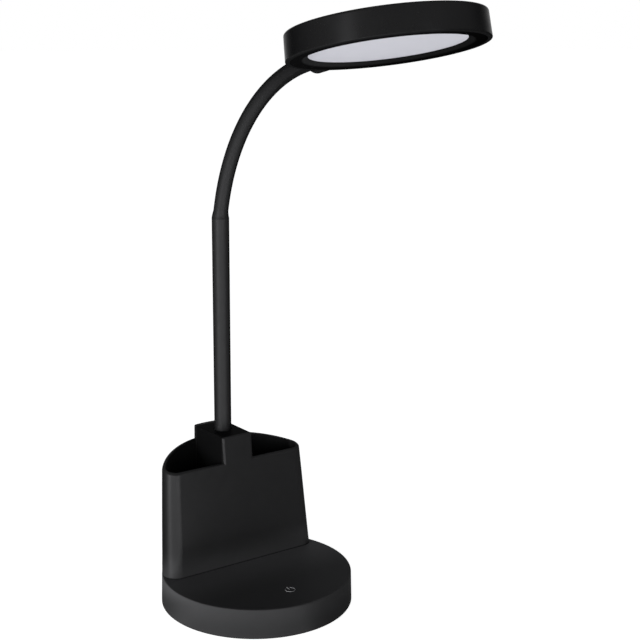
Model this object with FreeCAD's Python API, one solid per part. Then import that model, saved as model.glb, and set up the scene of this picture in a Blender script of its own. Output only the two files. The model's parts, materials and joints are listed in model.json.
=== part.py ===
import FreeCAD, Part
import math
import os

# A desk lamp on a round weighted base that carries a pen organizer.
# Millimetres, +Z up. The origin is the centre of the base on the surface that it stands on.
# The lamp head hangs out over the front, towards -Y, and the organizer fills the back, towards +Y.

# ---------------------------------------------------------------- fits and clearances
slip_fit = 0.05  # a pin in its hole, on the radius
seat_gap = 0.1  # between pieces that are laid on each other
screw_hole_gap = 0.3  # round a screw that passes through
screw_end_room = 0.8  # blind hole left past the end of a screw
boss_wall = 2.0  # plastic round a screw's hole
merge_depth = 0.5  # how far a boss runs into the wall that carries it
side_gap = 0.3  # round a piece that drops into a hole or rim

# ---------------------------------------------------------------- base
pad_lift = 0.8  # how far the rubber pad holds the housing off the table
base_radius = 65.0  # at the lower edge of the housing
base_draft = 0.5  # how much narrower the housing is at its top
base_height = 19.8  # housing only
base_top_round = 0.8
base_wall = 2.2
cover_thickness = 2.0
cover_recess = 0.4  # cover set up inside the lower edge
pad_inset = 11.0  # inside the lower edge of the housing
pad_pocket = 1.0  # how deep the rubber pad is let into the cover
pad_round = 0.4
weight_inset = 4.3  # inside the housing's wall
electronics_room = 6.0  # over the weight, under the top wall
weight_chamfer = 0.8
weight_gap = 0.2
base_screw_radius = 1.5
base_screw_head = 2.8
base_screw_head_height = 1.2  # flush with the cover
base_screw_inset = 19.0  # inside the lower edge of the housing
base_screw_angles = (18, 162, 225, 315)
screw_island_wall = 1.0  # cover left standing round a screw's head, through the pad

# ---------------------------------------------------------------- organizer
organizer_setback = 0.1  # its curved back stands this far inside the base's side
organizer_draft = 1.3  # how much narrower it is at the rim, beside the front wall
organizer_wall = 2.4
front_wall_y = 14.3  # outer face of the front wall, at the base top
front_lean = 5.7  # degrees that the front wall leans back
corner_radius = 9.5
corner_top_radius = 8.3
rim_height = 71.1  # rim over the base top, at the front wall
rim_slope = 12.4  # degrees that the rim rises towards the back
rim_outer_round = 1.5
rim_inner_round = 0.3
floor_height = 8.0  # top of the pocket floor over the base top
floor_thickness = 2.0
floor_fillet = 1.2
tower_height = 89.3
tower_width = 23.6
tower_wall = 2.0
tower_edge = 1.6
tower_roof_edge = 1.0
tower_inner_edge = 0.4
tower_roof = 2.4
organizer_screw_radius = 1.25
organizer_screw_head = 2.6
organizer_screw_head_height = 1.6
organizer_drill_floor = 0.5  # plastic left over the end of a drilled boss
organizer_boss_x = 30.0
organizer_boss_y = 33.0
front_post_setback = 10.7  # behind the front wall's outer face
front_post_rise = 4.0  # the post in the tower stands this much taller than the two bosses
front_post_rib = 2.0

# ---------------------------------------------------------------- tube
tube_setback = 22.65  # the tube's axis inside the organizer's curved back
tube_radius = 5.88
tube_wall = 0.98
tube_height = 237.0  # top of the tube over the base top
tube_end_chamfer = 0.4
shoulder_depth = 0.98  # the threaded end below is this much thinner, on the radius
stud_wall = 1.5
stud_bore_rise = 2.0  # the narrow bore runs this far above the shoulder
stud_end_lift = 0.4  # stud kept clear of the cover
stud_clearance = 0.2
washer_radius = 8.5
washer_thickness = 1.0
nut_flats = 14.0
nut_thickness = 3.4
nut_pocket_clearance = 1.5
nut_pocket_spare = 0.6
bush_height = 6.0
bush_recess = 1.0
bush_wall = 0.55
bush_flange = 1.6
lead_hole_radius = 2.2

# ---------------------------------------------------------------- electronics in the base
board_width = 44.0
board_depth = 26.0
board_thickness = 1.6
board_setback = 24.5  # the board's middle inside the base's side, at the front
board_drop = 2.4  # board hangs this far under the top wall
board_boss_radius = 2.6
board_edge_margin = 1.0  # board left outside its bosses
board_screw_radius = 1.0
board_screw_head = 2.0
board_screw_head_height = 1.0
board_hole_gap = 0.2
electrode_radius = 9.0
electrode_thickness = 0.3
electrode_tab = 3.0
chip_size = (6.0, 5.0, 1.3)
chip_spread = 8.8  # each chip's distance from the middle plane
chip_setback = 4.0
header_size = (6.0, 4.0, 2.4)
inlet_width = 8.9
inlet_height = 3.2
inlet_depth = 7.4
inlet_wall = 0.3
inlet_back_wall = 1.2
inlet_setback = 0.2  # behind the side of the housing
inlet_tongue = 0.7
inlet_tongue_margin = 0.9
inlet_tongue_setback = 0.6
inlet_board_width = 18.0
inlet_board_depth = 12.0
inlet_board_thickness = 0.8
inlet_board_setback = 3.2
inlet_post_x = 6.6
inlet_post_radius = 2.2

# ---------------------------------------------------------------- leads
lead_radius = 0.8
lead_bend_radius = 4.5
power_lead_x = 9.0

# ---------------------------------------------------------------- neck
neck_start_tilt = 10.9  # degrees from upright where the neck leaves the tube
neck_bend_radius = 129.4
neck_joint_count = 12
first_joint_lift = 1.2  # first ball centre over the end of the tube
link_play = 0.3  # round the links, inside the sleeve
cup_wall = 1.0  # a link is this much wider than its ball
ball_clearance = 0.3
shoulder_gap = 1.6  # from a ball centre down to the shoulder of its link
link_bore = 1.6
ferrule_depth = 16.0
ferrule_taper = 1.0  # the plug narrows from this far inside the tube
sleeve_radius = 5.0
sleeve_wall = 0.5
cuff_height = 4.0  # from the first joint
cuff_play = 0.3  # wider bore at the foot of the cuff

# ---------------------------------------------------------------- head
head_tilt = 11.4  # degrees that the front edge is raised
head_radius = 56.3
head_draft = 0.7  # how much narrower the head is at its top
head_thickness = 15.5
head_top_round = 1.5
head_lip_round = 0.7
head_wall = 2.6
head_roof = 2.0
neck_to_rim = 16.8  # last neck joint to the back of the head
head_boss_wall = 2.8  # round the sleeve
head_boss_length = 11.0
head_boss_round = 1.2
sleeve_socket_depth = 5.0
sleeve_socket_clearance = 0.5
neck_stud_step = 0.8  # thinner than the links
neck_stud_clearance = 0.15
neck_stud_length = 7.0
nut_pad_depth = 0.7
neck_nut_flats = 9.0
neck_nut_thickness = 3.0
bezel_gap = 0.25
bezel_inset = 8.3  # from the head's lower edge to the start of the funnel
bezel_lip = 1.5
bezel_ring_wall = 1.2
ledge_depth = 1.2  # rib inside the shell that the bezel seats on
ledge_height = 1.0
hook_width = 7.0
hook_thickness = 1.2
hook_nose = 0.7
hook_nose_height = 1.2
hook_angles = (30, 150, 270)
funnel_width = 4.4
window_depth = 2.3
diffuser_edge = 2.0  # held in the bezel, all round
diffuser_thickness = 2.0
diffuser_clearance = 0.15
led_board_inset = 1.6  # inside the diffuser's edge
led_board_thickness = 1.6
led_rings = ((0.2, 6), (0.5, 12), (0.8, 18))  # radius as a share of the board's, and how many LEDs
led_size = (2.8, 2.8, 0.7)
led_screw_count = 3
led_screw_share = 0.65  # of the board's radius
led_screw_radius = 1.2
led_screw_head = 2.4
led_screw_head_height = 1.2
reflector_wall = 0.8
reflector_inset = 0.5  # its wide end inside the edge of the diffuser

# ---------------------------------------------------------------- places worked out from the above
base_top_radius = base_radius - base_draft
pad_radius = base_radius - pad_inset
weight_radius = base_top_radius - base_wall - weight_inset
base_screw_spread = base_radius - base_screw_inset
organizer_radius = base_top_radius - organizer_setback
organizer_top_radius = organizer_radius - organizer_draft
front_post_y = front_wall_y + front_post_setback
tube_y = organizer_radius - tube_setback
board_centre_y = board_setback - base_top_radius
tube_bore = tube_radius - tube_wall
stud_radius = tube_radius - shoulder_depth
stud_bore = stud_radius - stud_wall
link_radius = sleeve_radius - sleeve_wall - link_play
ball_radius = link_radius - cup_wall
neck_stud_radius = link_radius - neck_stud_step
head_top_radius = head_radius - head_draft
head_boss_radius = sleeve_radius + head_boss_wall
nut_pad_radius = neck_nut_flats / math.sqrt(3) + side_gap
bezel_inner_radius = head_radius - bezel_inset
window_radius = bezel_inner_radius - funnel_width
diffuser_radius = window_radius + diffuser_edge
led_board_radius = diffuser_radius - led_board_inset
base_top = pad_lift + base_height
ceiling = base_top - base_wall
cover_low = pad_lift + cover_recess
weight_low = cover_low + cover_thickness + weight_gap
weight_top = ceiling - electronics_room
weight_thickness = weight_top - weight_low
boss_low = weight_top + weight_gap
screw_island = base_screw_head + screw_hole_gap + screw_island_wall
pocket_floor = base_top + floor_height
tower_top = base_top + tower_height
tube_top = base_top + tube_height
board_low = ceiling - board_drop - board_thickness
lead_level = (weight_top + ceiling) / 2  # the leads cross the base halfway up the room over the weight
inlet_level = lead_level + inlet_board_thickness
inlet_face_y = base_top_radius - inlet_setback
inlet_board_top = inlet_level - inlet_height / 2
inlet_board_y = inlet_face_y - inlet_board_setback - inlet_board_depth  # its inner edge
control_board_y = board_centre_y + board_depth / 2  # its edge towards the tube
nut_pocket_depth = washer_thickness + nut_thickness + nut_pocket_spare
washer_low = weight_low + nut_pocket_depth - washer_thickness
organizer_boss_height = floor_height - floor_thickness
lean_rate = math.tan(math.radians(front_lean))
draft_rate = (organizer_radius - organizer_top_radius) / rim_height
rim_rate = math.tan(math.radians(rim_slope))
blank_top = tower_top + tower_roof  # the organizer is made this tall, then cut to its rim
far = base_radius * 2  # reaches past the whole base
near = slip_fit / 10  # closer than this is the same place

X = FreeCAD.Vector(1, 0, 0)
Y = FreeCAD.Vector(0, 1, 0)
Z = FreeCAD.Vector(0, 0, 1)


# ---------------------------------------------------------------- shapes used all over
def vec(x, y, z):
    return FreeCAD.Vector(x, y, z)


def cylinder(radius, height, foot=vec(0, 0, 0), axis=Z):
    return Part.makeCylinder(radius, height, foot, axis)


def block(x0, x1, y0, y1, z0, z1):
    return Part.makeBox(x1 - x0, y1 - y0, z1 - z0, vec(x0, y0, z0))


def outline_face(corners):
    return Part.Face(Part.makePolygon(corners + corners[:1]))


def turned(points, spot=vec(0, 0, 0)):
    """A solid turned about an upright axis from (radius, height) points, listed round its section."""
    solid = outline_face([vec(r, 0, z) for r, z in points]).revolve(vec(0, 0, 0), Z, 360)
    solid.translate(spot)
    return solid


def hexagon(flats, height, foot=vec(0, 0, 0)):
    reach = flats / math.sqrt(3)
    solid = outline_face([on_circle(reach, 60 * i) for i in range(6)]).extrude(vec(0, 0, height))
    solid.translate(foot)
    return solid


def slot_along_y(width, height, y0, y1, level):
    """A bar with round ends, lying along Y."""
    radius = height / 2
    half = width / 2 - radius
    bars = [block(-half, half, y0, y1, level - radius, level + radius)]
    for side in (-half, half):
        bars.append(cylinder(radius, y1 - y0, vec(side, y0, level), Y))
    return fused(bars)


def fused(shapes):
    if len(shapes) == 1:
        return shapes[0]
    return shapes[0].fuse(shapes[1:]).removeSplitter()


def on_circle(radius, angle):
    a = math.radians(angle)
    return vec(radius * math.cos(a), radius * math.sin(a), 0)


def edges_where(shape, test):
    return [e for e in shape.Edges if test(e)]


def screw(radius, head_radius, head_height, length, foot):
    """A screw that points up, with its head's flat end at foot and a round drive recess in it."""
    head = cylinder(head_radius, head_height, foot)
    shank = cylinder(radius - slip_fit, length, foot)
    recess = cylinder(head_radius / 3, head_height / 2, foot)
    return head.fuse(shank).cut(recess)


# ---------------------------------------------------------------- where things are in the base
def base_screw_spots():
    return [on_circle(base_screw_spread, a) for a in base_screw_angles]


def organizer_screw_spots():
    """Two under the pockets, then the one in the tower's front post."""
    return [vec(-organizer_boss_x, organizer_boss_y, 0), vec(organizer_boss_x, organizer_boss_y, 0),
            vec(0, front_post_y, 0)]


def board_screw_spots():
    reach = board_width / 2 - board_boss_radius - board_edge_margin
    return [vec(-reach, board_centre_y, 0), vec(reach, board_centre_y, 0)]


def inlet_screw_spots():
    y = inlet_board_y + inlet_post_radius + board_edge_margin
    return [vec(-inlet_post_x, y, 0), vec(inlet_post_x, y, 0)]


# ---------------------------------------------------------------- base pieces
def hanging_boss(radius, low, spot):
    """A boss that hangs from the top wall of the base down to a level."""
    return cylinder(radius, ceiling - low + merge_depth, spot + Z * low)


def base_shell():
    inner_radius = base_radius - base_wall
    inner_top_radius = base_top_radius - base_wall
    housing = turned([(0, base_top), (base_top_radius, base_top), (base_radius, pad_lift),
                      (inner_radius, pad_lift), (inner_top_radius, ceiling), (0, ceiling)])
    top_rim = edges_where(housing, lambda e: e.Closed and e.BoundBox.ZMin > base_top - near)
    parts = [housing.makeFillet(base_top_round, top_rim)]
    drills = []
    for spot in base_screw_spots():
        parts.append(hanging_boss(base_screw_radius + boss_wall, boss_low, spot))
        drills.append(cylinder(base_screw_radius, ceiling - boss_low, spot + Z * boss_low))
    for spot in board_screw_spots():
        low = ceiling - board_drop
        parts.append(hanging_boss(board_boss_radius, low, spot))
        drills.append(cylinder(board_screw_radius, board_drop, spot + Z * low))
    for spot in inlet_screw_spots():
        parts.append(hanging_boss(inlet_post_radius, inlet_board_top, spot))
        drills.append(cylinder(board_screw_radius, ceiling - inlet_board_top, spot + Z * inlet_board_top))
    through = base_wall * 3
    for spot in organizer_screw_spots():
        drills.append(cylinder(organizer_screw_radius + screw_hole_gap, through,
                               spot + Z * (ceiling - base_wall)))
    drills.append(cylinder(tube_radius + side_gap, through, vec(0, tube_y, ceiling - base_wall)))
    drills.append(slot_along_y(inlet_width + 2 * side_gap, inlet_height + 2 * side_gap,
                               base_radius - through, base_radius + through, inlet_level))
    return fused(parts).cut(drills)


def base_cover():
    cover = cylinder(base_radius - base_wall - side_gap, cover_thickness, vec(0, 0, cover_low))
    cuts = []
    for spot in base_screw_spots():
        cuts.append(cylinder(base_screw_radius + screw_hole_gap, cover_thickness, spot + Z * cover_low))
        cuts.append(cylinder(base_screw_head + screw_hole_gap, base_screw_head_height,
                             spot + Z * cover_low))
    pocket = cylinder(pad_radius + seat_gap, pad_pocket, vec(0, 0, cover_low))
    islands = [cylinder(screw_island, pad_pocket, spot + Z * cover_low) for spot in base_screw_spots()]
    return cover.cut(cuts + [pocket.cut(islands)])


def rubber_pad():
    """One non-slip disc under the whole base, open round the screws."""
    pad = cylinder(pad_radius, cover_low + pad_pocket)
    pad = pad.makeFillet(pad_round, edges_where(pad, lambda e: e.BoundBox.ZMax < pad_round))
    return pad.cut([cylinder(screw_island + side_gap, cover_low + pad_pocket, spot)
                    for spot in base_screw_spots()])


def counterweight():
    weight = cylinder(weight_radius, weight_thickness, vec(0, 0, weight_low))
    weight = weight.makeChamfer(weight_chamfer, edges_where(weight, lambda e: e.Closed))
    nut_room = nut_flats / math.sqrt(3) + nut_pocket_clearance
    cuts = [cylinder(stud_radius + stud_clearance, weight_thickness, vec(0, tube_y, weight_low)),
            cylinder(nut_room, nut_pocket_depth, vec(0, tube_y, weight_low))]
    for spot in base_screw_spots():
        cuts.append(cylinder(base_screw_radius + screw_hole_gap, weight_thickness, spot + Z * weight_low))
    return weight.cut(cuts)


def base_screws():
    """Flat-head screws that clamp the cover and the weight up against the shell's bosses."""
    length = ceiling - cover_low - screw_end_room
    return Part.makeCompound([
        screw(base_screw_radius, base_screw_head, base_screw_head_height, length, spot + Z * cover_low)
        for spot in base_screw_spots()])


def organizer_screws():
    """Screws that pull the organizer down from inside the base."""
    foot = ceiling - organizer_screw_head_height
    tip = base_top + organizer_boss_height - organizer_drill_floor - screw_end_room
    return Part.makeCompound([
        screw(organizer_screw_radius, organizer_screw_head, organizer_screw_head_height, tip - foot,
              spot + Z * foot)
        for spot in organizer_screw_spots()])


# ---------------------------------------------------------------- electronics in the base
def header(x, y0, y1, low):
    """A lead's connector on a board."""
    width, _, height = header_size
    return block(x - width / 2, x + width / 2, y0, y1, low, low + height)


def control_board():
    board = block(-board_width / 2, board_width / 2, board_centre_y - board_depth / 2, control_board_y,
                  board_low, board_low + board_thickness)
    holes = [cylinder(board_screw_radius + board_hole_gap, board_thickness, spot + Z * board_low)
             for spot in board_screw_spots()]
    length, depth, height = chip_size
    chip_y = board_centre_y - chip_setback
    chips = [block(x - length / 2, x + length / 2, chip_y - depth / 2, chip_y + depth / 2,
                   board_low - height, board_low) for x in (-chip_spread, chip_spread)]
    headers = [header(x, control_board_y, control_board_y + header_size[1], board_low)
               for x in (0, power_lead_x)]
    return fused([board.cut(holes)] + headers + chips)


def inlet_board():
    low = inlet_board_top - inlet_board_thickness
    board = block(-inlet_board_width / 2, inlet_board_width / 2, inlet_board_y,
                  inlet_board_y + inlet_board_depth, low, inlet_board_top)
    holes = [cylinder(board_screw_radius + board_hole_gap, inlet_board_thickness, spot + Z * low)
             for spot in inlet_screw_spots()]
    plug = header(power_lead_x, inlet_board_y - header_size[1], inlet_board_y, low)
    return fused([board.cut(holes), plug])


def board_screws():
    """Screws of both boards, up into the bosses of the top wall."""
    screws = []
    for spots, low, tip in ((board_screw_spots(), board_low, ceiling),
                            (inlet_screw_spots(), inlet_board_top - inlet_board_thickness, ceiling)):
        for spot in spots:
            foot = low - board_screw_head_height
            screws.append(screw(board_screw_radius, board_screw_head, board_screw_head_height,
                                tip - screw_end_room / 2 - foot, spot + Z * foot))
    return Part.makeCompound(screws)


def touch_electrode():
    """A brass disc glued under the top wall, with a bent tab that springs against the board."""
    board_top = ceiling - board_drop
    half = electrode_tab / 2
    disc = cylinder(electrode_radius, electrode_thickness,
                    vec(0, board_centre_y, ceiling - electrode_thickness))
    leg = block(-half, half, board_centre_y, board_centre_y + electrode_thickness, board_top, ceiling)
    toe = block(-half, half, board_centre_y, board_centre_y + electrode_tab,
                board_top, board_top + electrode_thickness)
    return fused([disc, leg, toe])


def inlet_socket():
    """The metal shell and tongue of the power inlet, flush with the back of the base."""
    back = inlet_face_y - inlet_depth
    body = slot_along_y(inlet_width, inlet_height, back, inlet_face_y, inlet_level)
    hollow = slot_along_y(inlet_width - 2 * inlet_wall, inlet_height - 2 * inlet_wall,
                          back + inlet_back_wall, inlet_face_y, inlet_level)
    half = inlet_width / 2 - inlet_wall - inlet_tongue_margin
    tongue = block(-half, half, back + inlet_back_wall / 2, inlet_face_y - inlet_tongue_setback,
                   inlet_level - inlet_tongue / 2, inlet_level + inlet_tongue / 2)
    return fused([body.cut(hollow), tongue])


def power_lead():
    """The lead from the inlet board to the control board, past the side of the tube."""
    start = control_board_y + header_size[1]
    end = inlet_board_y - header_size[1]
    return cylinder(lead_radius, end - start, vec(power_lead_x, start, lead_level), Y)


# ---------------------------------------------------------------- organizer
def front_plane_y(z, inset=0):
    """Where the leaning front wall stands at a height."""
    return front_wall_y + inset / math.cos(math.radians(front_lean)) + (z - base_top) * lean_rate


def rim_level(y):
    """Height of the sloping rim."""
    return base_top + rim_height + (y - front_plane_y(base_top + rim_height)) * rim_rate


def d_form(inset, low, high):
    """The organizer's D-shaped outline between two heights, moved in by inset all round."""
    radii = [organizer_radius - inset - (z - base_top) * draft_rate for z in (low, high)]
    form = Part.makeCone(radii[0], radii[1], high - low, vec(0, 0, low))
    behind = outline_face([vec(-far, front_plane_y(low, inset), low), vec(-far, far, low),
                           vec(-far, far, high), vec(-far, front_plane_y(high, inset), high)])
    return form.common(behind.extrude(X * (2 * far)))


def corner_radius_at(z, inset):
    share = (z - base_top) / rim_height
    return corner_radius + (corner_top_radius - corner_radius) * share - inset


def rounded_form(inset, low, high):
    """The D-shaped outline with its two front corners rounded, less and less towards the rim."""
    form = d_form(inset, low, high)
    for side in (-1, 1):
        corner = edges_where(form, lambda e: e.BoundBox.ZLength > (high - low) * 0.9
                             and e.CenterOfMass.x * side > organizer_radius / 2)[0]
        radii = [corner_radius_at(v.Z, inset) for v in corner.Vertexes]
        form = form.makeFillet(radii[0], radii[1], [corner])
    return form


def above_rim():
    """Everything over the sloping rim plane."""
    return outline_face([vec(-far, -far, rim_level(-far)), vec(-far, far, rim_level(far)),
                         vec(-far, far, far * 2), vec(-far, -far, far * 2)]).extrude(X * (2 * far))


def tower_form(inset, low, high, edge):
    """The square post between the two pockets, from the front wall to the curved back."""
    half = tower_width / 2 - inset
    form = d_form(inset, low, high).common(block(-half, half, -far, far, low, high))
    uprights = edges_where(form, lambda e: e.BoundBox.ZLength > (high - low) * 0.9)
    return form.makeFillet(edge, uprights)


def rim_edges(shape, inner):
    """The edges of the rim, in its sloping plane: the pockets' ones, or the outline's."""
    found = []
    for edge in shape.Edges:
        first, last = edge.ParameterRange
        points = [edge.valueAt(first + (last - first) * share) for share in (0, 0.3, 0.7, 1)]
        in_rim = all(abs(p.z - rim_level(p.y)) < near for p in points)
        if in_rim and inner == point_is_inside(edge.valueAt((first + last) / 2)):
            found.append(edge)
    return found


def point_is_inside(p):
    """True for a point more than half a wall inside the organizer's outline."""
    radius = organizer_radius - (p.z - base_top) * draft_rate - organizer_wall / 2
    if math.hypot(p.x, p.y) > radius or p.y < front_plane_y(p.z, organizer_wall / 2):
        return False
    reach = corner_radius_at(p.z, organizer_wall / 2)
    centre_y = front_plane_y(p.z, organizer_wall / 2) + reach
    centre_x = math.sqrt((radius - reach) ** 2 - centre_y ** 2)
    in_corner = p.y < centre_y and abs(p.x) > centre_x
    return not in_corner or math.hypot(abs(p.x) - centre_x, p.y - centre_y) < reach


def organizer_shell():
    body = rounded_form(0, base_top, blank_top).cut(above_rim())
    room = rounded_form(organizer_wall, pocket_floor, blank_top)
    floor_edges = edges_where(room, lambda e: e.BoundBox.ZMax < pocket_floor + floor_fillet)
    body = body.cut(room.makeFillet(floor_fillet, floor_edges))
    body = body.makeFillet(rim_outer_round, rim_edges(body, False))
    body = body.makeFillet(rim_inner_round, rim_edges(body, True))
    tower = tower_form(0, base_top, tower_top, tower_edge)
    roof_edges = edges_where(tower, lambda e: e.BoundBox.ZMin > tower_top - near)
    tower = tower.makeFillet(tower_roof_edge, roof_edges)
    under = rounded_form(organizer_wall, base_top, pocket_floor - floor_thickness)
    hollow = tower_form(tower_wall, base_top, tower_top - tower_roof, tower_inner_edge)
    body = body.fuse(tower).cut([under, hollow])
    boss_radius = organizer_screw_radius + boss_wall
    spots = organizer_screw_spots()
    post_height = organizer_boss_height + front_post_rise
    added = [cylinder(boss_radius, organizer_boss_height + merge_depth, spot + Z * base_top)
             for spot in spots[:2]]
    added.append(cylinder(boss_radius, post_height, spots[2] + Z * base_top))
    added.append(block(-front_post_rib / 2, front_post_rib / 2, front_plane_y(base_top, tower_wall / 2),
                       front_post_y, base_top + merge_depth, base_top + post_height))
    drills = [cylinder(organizer_screw_radius, organizer_boss_height - organizer_drill_floor,
                       spot + Z * base_top) for spot in spots]
    drills.append(cylinder(tube_radius + bush_wall + slip_fit * 2, tower_roof * 2,
                           vec(0, tube_y, tower_top - tower_roof * 1.5)))
    return fused([body] + added).cut(drills)


# ---------------------------------------------------------------- tube
def tube_bush():
    """A plastic ring that centres the tube in the tower's roof, from below."""
    top = tower_top - bush_recess
    inner = tube_radius + slip_fit
    outer = inner + bush_wall
    flange = outer + bush_flange
    seat = tower_top - tower_roof - seat_gap
    return turned([(inner, top - bush_height), (flange, top - bush_height), (flange, seat),
                   (outer, seat), (outer, top), (inner, top)], vec(0, tube_y, 0))


def lower_tube():
    shoulder = weight_top
    stud_end = weight_low + stud_end_lift
    tube = turned([
        (stud_bore, stud_end), (stud_radius, stud_end), (stud_radius, shoulder), (tube_radius, shoulder),
        (tube_radius, tube_top - tube_end_chamfer), (tube_radius - tube_end_chamfer, tube_top),
        (tube_bore, tube_top), (tube_bore, shoulder + stud_bore_rise),
        (stud_bore, shoulder + stud_bore_rise)], vec(0, tube_y, 0))
    return tube.cut(cylinder(lead_hole_radius, tube_radius * 2, vec(0, tube_y, lead_level), -Y))


def tube_washer():
    hole = stud_radius + stud_clearance
    high = washer_low + washer_thickness
    return turned([(hole, washer_low), (washer_radius, washer_low), (washer_radius, high), (hole, high)],
                  vec(0, tube_y, 0))


def tube_nut():
    foot = vec(0, tube_y, washer_low - nut_thickness)
    hole = cylinder(stud_radius + slip_fit, nut_thickness, foot)
    return hexagon(nut_flats, nut_thickness, foot).cut(hole)


def tube_lead():
    """The two-core lead from the control board, in at the tube's side hole and up to the neck's plug."""
    start = vec(0, control_board_y + header_size[1], lead_level)
    bend_start = vec(0, tube_y - lead_bend_radius, lead_level)
    bend_end = vec(0, tube_y, lead_level + lead_bend_radius)
    bend_centre = vec(0, tube_y - lead_bend_radius, lead_level + lead_bend_radius)
    bend_middle = bend_centre + (Y - Z) * (lead_bend_radius * math.sqrt(0.5))
    path = Part.Wire([Part.LineSegment(start, bend_start).toShape(),
                      Part.Arc(bend_start, bend_middle, bend_end).toShape(),
                      Part.LineSegment(bend_end, vec(0, tube_y, tube_top - ferrule_depth)).toShape()])
    return pipe(path, start, Y, lead_radius)


def pipe(path, start, heading, radius):
    section = Part.Wire(Part.Circle(start, heading, radius).toShape())
    return path.makePipeShell([section], True, True)


# ---------------------------------------------------------------- neck
neck_end_tilt = 90 - head_tilt
neck_start = vec(0, tube_y, tube_top + first_joint_lift)
neck_step = (neck_end_tilt - neck_start_tilt) / (neck_joint_count - 1)
link_length = 2 * neck_bend_radius * math.sin(math.radians(neck_step) / 2)


def neck_side(tilt):
    """Square to the neck, in the lamp's middle plane, where it leans by tilt degrees from upright."""
    a = math.radians(tilt)
    return vec(0, math.cos(a), math.sin(a))


def neck_heading(tilt):
    a = math.radians(tilt)
    return vec(0, -math.sin(a), math.cos(a))


def neck_point(tilt):
    """A point on the neck's arc, where it leans by tilt degrees from upright."""
    centre = neck_start - neck_side(neck_start_tilt) * neck_bend_radius
    return centre + neck_side(tilt) * neck_bend_radius


def joint_tilt(i):
    return neck_start_tilt + neck_step * i


def joint_point(i):
    return neck_point(joint_tilt(i))


def stand(shape, spot, tilt):
    """Leans a shape built along +Z forward by tilt degrees, and sets it at spot."""
    made = shape.copy()
    made.rotate(vec(0, 0, 0), X, tilt)
    made.translate(spot)
    return made


def ball_end(height):
    """The ball that a link or plug carries, centred at a height and cut off at its shoulder."""
    ball = Part.makeSphere(ball_radius, vec(0, 0, height))
    keep = cylinder(ball_radius * 2, ball_radius + shoulder_gap, vec(0, 0, height - shoulder_gap))
    return ball.common(keep)


def ball_cup():
    return Part.makeSphere(ball_radius + ball_clearance)


def neck_link(i):
    """Link i runs from joint i to joint i + 1: a cup that rides on one ball, and the next ball."""
    body = cylinder(link_radius, link_length - shoulder_gap).fuse(ball_end(link_length))
    body = body.cut([ball_cup(), cylinder(link_bore, link_length * 2)])
    return stand(body, joint_point(i), (joint_tilt(i) + joint_tilt(i + 1)) / 2)


def neck_ferrule():
    """A turned plug pressed into the top of the tube, ending in the first ball."""
    shoulder = neck_start.z - shoulder_gap
    low = tube_top - ferrule_depth
    plug = turned([(0, low), (tube_bore - slip_fit, low), (tube_bore - slip_fit, tube_top - ferrule_taper),
                   (link_radius, shoulder), (0, shoulder)])
    plug = plug.fuse(ball_end(neck_start.z)).cut(cylinder(link_bore, ferrule_depth * 2, vec(0, 0, low)))
    plug.translate(vec(0, tube_y, 0))
    return plug


def neck_rod(radius):
    """A round rod along the neck's arc, from the first joint to the last."""
    arc = Part.Arc(neck_point(neck_start_tilt), neck_point((neck_start_tilt + neck_end_tilt) / 2),
                   neck_point(neck_end_tilt)).toShape()
    return pipe(Part.Wire([arc]), neck_start, neck_heading(neck_start_tilt), radius)


def cuff_form(foot_radius_here, top_radius):
    """A taper from the end of the tube to the start of the neck's slant."""
    heading = neck_heading(neck_start_tilt)
    foot = Part.Circle(vec(0, tube_y, tube_top + seat_gap), Z, foot_radius_here)
    top = Part.Circle(neck_start + heading * cuff_height, heading, top_radius)
    return Part.makeLoft([Part.Wire(foot.toShape()), Part.Wire(top.toShape())], True)


def neck_sleeve():
    """The silicone sleeve over the links, flared at its foot to the width of the tube."""
    bore = sleeve_radius - sleeve_wall
    end = joint_point(neck_joint_count - 1)
    straight = neck_to_rim - head_boss_length + sleeve_socket_depth - seat_gap
    heading = neck_heading(neck_end_tilt)
    outer = [cuff_form(tube_radius, sleeve_radius), neck_rod(sleeve_radius),
             cylinder(sleeve_radius, straight, end, heading)]
    inner = [cuff_form(bore + cuff_play, bore), neck_rod(bore), cylinder(bore, straight * 2, end, heading)]
    return fused(outer).cut(inner)


def neck_lead():
    """The lead through the plug and the links, up to the last joint."""
    return fused([cylinder(lead_radius, ferrule_depth + first_joint_lift,
                           vec(0, tube_y, tube_top - ferrule_depth)),
                  Part.makeSphere(lead_radius, neck_start), neck_rod(lead_radius)])


# ---------------------------------------------------------------- head, built level and then tilted
mid_height = head_thickness / 2
roof_level = head_thickness - head_roof
led_board_low = roof_level - seat_gap - led_board_thickness
ledge_low = bezel_lip + seat_gap
head_heading = neck_heading(neck_end_tilt)
head_centre = joint_point(neck_joint_count - 1) + head_heading * (neck_to_rim + head_radius)
head_origin = head_centre - neck_side(neck_end_tilt) * mid_height


def place_head(shape):
    made = shape.copy()
    made.rotate(vec(0, 0, 0), X, -head_tilt)
    made.translate(head_origin)
    return made


def head_wall_radius(height):
    """Outer radius of the head's side at a height over its lower edge."""
    return head_radius + (head_top_radius - head_radius) * height / head_thickness


def inner_radius_at(height):
    return head_wall_radius(height) - head_wall


def nut_pad_y():
    """The flat face inside the back wall, where the neck's nut seats."""
    return inner_radius_at(roof_level) - nut_pad_depth


def led_screw_spots():
    reach = led_board_radius * led_screw_share
    return [on_circle(reach, 90 + 360 / led_screw_count * i) for i in range(led_screw_count)]


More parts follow.
